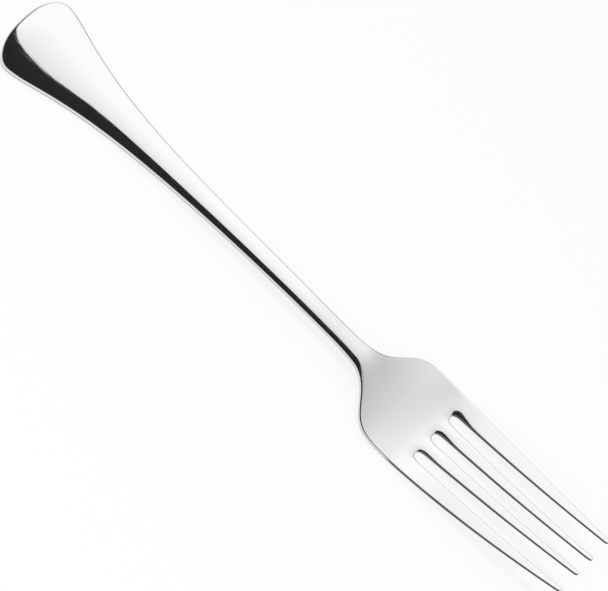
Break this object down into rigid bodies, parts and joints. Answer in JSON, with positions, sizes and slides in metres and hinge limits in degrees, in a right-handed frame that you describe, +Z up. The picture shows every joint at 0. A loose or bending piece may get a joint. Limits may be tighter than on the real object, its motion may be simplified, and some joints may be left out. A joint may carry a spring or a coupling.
{
  "type": "serving fork",
  "caption": "One-piece stainless steel serving fork with a flared handle end, slim shank, shallow hollow head and long tapered tines, for lifting and serving food.",
  "frame": {"origin": "on the table, in the middle of the fork's length and width", "axes": "+X along the fork from the handle end to the tines, +Y across it, +Z up, hollow side up as it lies on a table"},
  "size_m": [0.2249, 0.0304, 0.0141],
  "materials": {
    "steel": "polished"
  },
  "bodies": {
    "root": {"fork": "steel"}
  },
  "joints": []
}
